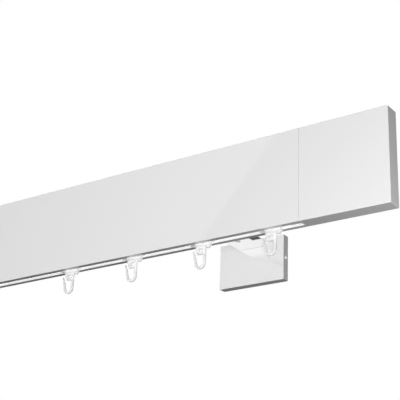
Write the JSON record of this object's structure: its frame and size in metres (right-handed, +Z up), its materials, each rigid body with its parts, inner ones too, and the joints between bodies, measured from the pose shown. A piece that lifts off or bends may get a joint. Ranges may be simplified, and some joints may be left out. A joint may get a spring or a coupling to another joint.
{
  "type": "curtain rail",
  "caption": "Flat box-section curtain rail with an inner track, gliders with swivel hooks, end caps and adjustable wall brackets.",
  "frame": {"origin": "on the wall, in the middle of the four wall screw holes", "axes": "+X along the rail to the right as seen from the room, +Y into the wall, +Z up"},
  "size_m": [1, 0.1255, 0.1015],
  "materials": {
    "white_lacquer": "high-gloss white lacquer",
    "polished_arm": "polished, bright",
    "zinc": "die-cast zinc, satin",
    "steel": "zinc-plated steel",
    "grey_plastic": "moulded, matt",
    "white_plastic": "moulded, satin",
    "runner_nylon": "milky translucent nylon",
    "hook_nylon": "milky translucent nylon"
  },
  "bodies": {
    "rail_set": {"arm_screws_left": "steel", "arm_screws_right": "steel", "bracket_arm_left": "polished_arm", "bracket_arm_right": "polished_arm", "clamp_screw_left": "steel", "clamp_screw_right": "steel", "clamp_washer_left": "steel", "clamp_washer_right": "steel", "cover_screw_left": "steel", "cover_screw_right": "steel", "end_cap_left": "white_lacquer", "end_cap_right": "white_lacquer", "end_plug_left": "grey_plastic", "end_plug_right": "grey_plastic", "end_stop_left": "white_plastic", "end_stop_right": "white_plastic", "end_stop_screw_left": "steel", "end_stop_screw_right": "steel", "lock_screw_left": "steel", "lock_screw_right": "steel", "plate_cover_left": "white_lacquer", "plate_cover_right": "white_lacquer", "plug_screws_left": "steel", "plug_screws_right": "steel", "rail_carrier_left": "zinc", "rail_carrier_right": "zinc", "rail_profile": "white_lacquer", "wall_base_left": "zinc", "wall_base_right": "zinc"},
    "runner_01": {"runner_01": "runner_nylon"},
    "hook_01": {"hook_01": "hook_nylon"},
    "runner_02": {"runner_02": "runner_nylon"},
    "hook_02": {"hook_02": "hook_nylon"},
    "runner_03": {"runner_03": "runner_nylon"},
    "hook_03": {"hook_03": "hook_nylon"},
    "runner_04": {"runner_04": "runner_nylon"},
    "hook_04": {"hook_04": "hook_nylon"},
    "runner_05": {"runner_05": "runner_nylon"},
    "hook_05": {"hook_05": "hook_nylon"},
    "runner_06": {"runner_06": "runner_nylon"},
    "hook_06": {"hook_06": "hook_nylon"},
    "runner_07": {"runner_07": "runner_nylon"},
    "hook_07": {"hook_07": "hook_nylon"},
    "runner_08": {"runner_08": "runner_nylon"},
    "hook_08": {"hook_08": "hook_nylon"},
    "runner_09": {"runner_09": "runner_nylon"},
    "hook_09": {"hook_09": "hook_nylon"},
    "runner_10": {"runner_10": "runner_nylon"},
    "hook_10": {"hook_10": "hook_nylon"},
    "runner_11": {"runner_11": "runner_nylon"},
    "hook_11": {"hook_11": "hook_nylon"},
    "runner_12": {"runner_12": "runner_nylon"},
    "hook_12": {"hook_12": "hook_nylon"}
  },
  "joints": [
    {"name": "runner_slide_01", "type": "slide", "parent": "rail_set", "child": "runner_01", "axis": [1, 0, 0], "range_m": [-0.0467, 0.00743]},
    {"name": "hook_swivel_01", "type": "hinge", "parent": "runner_01", "child": "hook_01", "pos_m": [0.3928, -0.11825, -0.0204], "axis": [0, 0, 1], "continuous": true},
    {"name": "runner_slide_02", "type": "slide", "parent": "rail_set", "child": "runner_02", "axis": [1, 0, 0], "range_m": [-0.051, 0.0467]},
    {"name": "hook_swivel_02", "type": "hinge", "parent": "runner_02", "child": "hook_02", "pos_m": [0.3251, -0.11825, -0.0204], "axis": [0, 0, 1], "continuous": true},
    {"name": "runner_slide_03", "type": "slide", "parent": "rail_set", "child": "runner_03", "axis": [1, 0, 0], "range_m": [-0.051, 0.051]},
    {"name": "hook_swivel_03", "type": "hinge", "parent": "runner_03", "child": "hook_03", "pos_m": [0.2531, -0.11825, -0.0204], "axis": [0, 0, 1], "continuous": true},
    {"name": "runner_slide_04", "type": "slide", "parent": "rail_set", "child": "runner_04", "axis": [1, 0, 0], "range_m": [-0.0811, 0.051]},
    {"name": "hook_swivel_04", "type": "hinge", "parent": "runner_04", "child": "hook_04", "pos_m": [0.1811, -0.11825, -0.0204], "axis": [0, 0, 1], "continuous": true},
    {"name": "runner_slide_05", "type": "slide", "parent": "rail_set", "child": "runner_05", "axis": [1, 0, 0], "range_m": [-0.0467, 0.0811]},
    {"name": "hook_swivel_05", "type": "hinge", "parent": "runner_05", "child": "hook_05", "pos_m": [0.079, -0.11825, -0.0204], "axis": [0, 0, 1], "continuous": true},
    {"name": "runner_slide_06", "type": "slide", "parent": "rail_set", "child": "runner_06", "axis": [1, 0, 0], "range_m": [-0.0467, 0.0467]},
    {"name": "hook_swivel_06", "type": "hinge", "parent": "runner_06", "child": "hook_06", "pos_m": [0.0113, -0.11825, -0.0204], "axis": [0, 0, 1], "continuous": true},
    {"name": "runner_slide_07", "type": "slide", "parent": "rail_set", "child": "runner_07", "axis": [1, 0, 0], "range_m": [-0.0467, 0.0467]},
    {"name": "hook_swivel_07", "type": "hinge", "parent": "runner_07", "child": "hook_07", "pos_m": [-0.05641, -0.11825, -0.0204], "axis": [0, 0, 1], "continuous": true},
    {"name": "runner_slide_08", "type": "slide", "parent": "rail_set", "child": "runner_08", "axis": [1, 0, 0], "range_m": [-0.0467, 0.0467]},
    {"name": "hook_swivel_08", "type": "hinge", "parent": "runner_08", "child": "hook_08", "pos_m": [-0.12411, -0.11825, -0.0204], "axis": [0, 0, 1], "continuous": true},
    {"name": "runner_slide_09", "type": "slide", "parent": "rail_set", "child": "runner_09", "axis": [1, 0, 0], "range_m": [-0.0467, 0.0467]},
    {"name": "hook_swivel_09", "type": "hinge", "parent": "runner_09", "child": "hook_09", "pos_m": [-0.19182, -0.11825, -0.0204], "axis": [0, 0, 1], "continuous": true},
    {"name": "runner_slide_10", "type": "slide", "parent": "rail_set", "child": "runner_10", "axis": [1, 0, 0], "range_m": [-0.0467, 0.0467]},
    {"name": "hook_swivel_10", "type": "hinge", "parent": "runner_10", "child": "hook_10", "pos_m": [-0.25952, -0.11825, -0.0204], "axis": [0, 0, 1], "continuous": true},
    {"name": "runner_slide_11", "type": "slide", "parent": "rail_set", "child": "runner_11", "axis": [1, 0, 0], "range_m": [-0.0467, 0.0467]},
    {"name": "hook_swivel_11", "type": "hinge", "parent": "runner_11", "child": "hook_11", "pos_m": [-0.32723, -0.11825, -0.0204], "axis": [0, 0, 1], "continuous": true},
    {"name": "runner_slide_12", "type": "slide", "parent": "rail_set", "child": "runner_12", "axis": [1, 0, 0], "range_m": [-0.0053, 0.0467]},
    {"name": "hook_swivel_12", "type": "hinge", "parent": "runner_12", "child": "hook_12", "pos_m": [-0.39493, -0.11825, -0.0204], "axis": [0, 0, 1], "continuous": true}
  ]
}
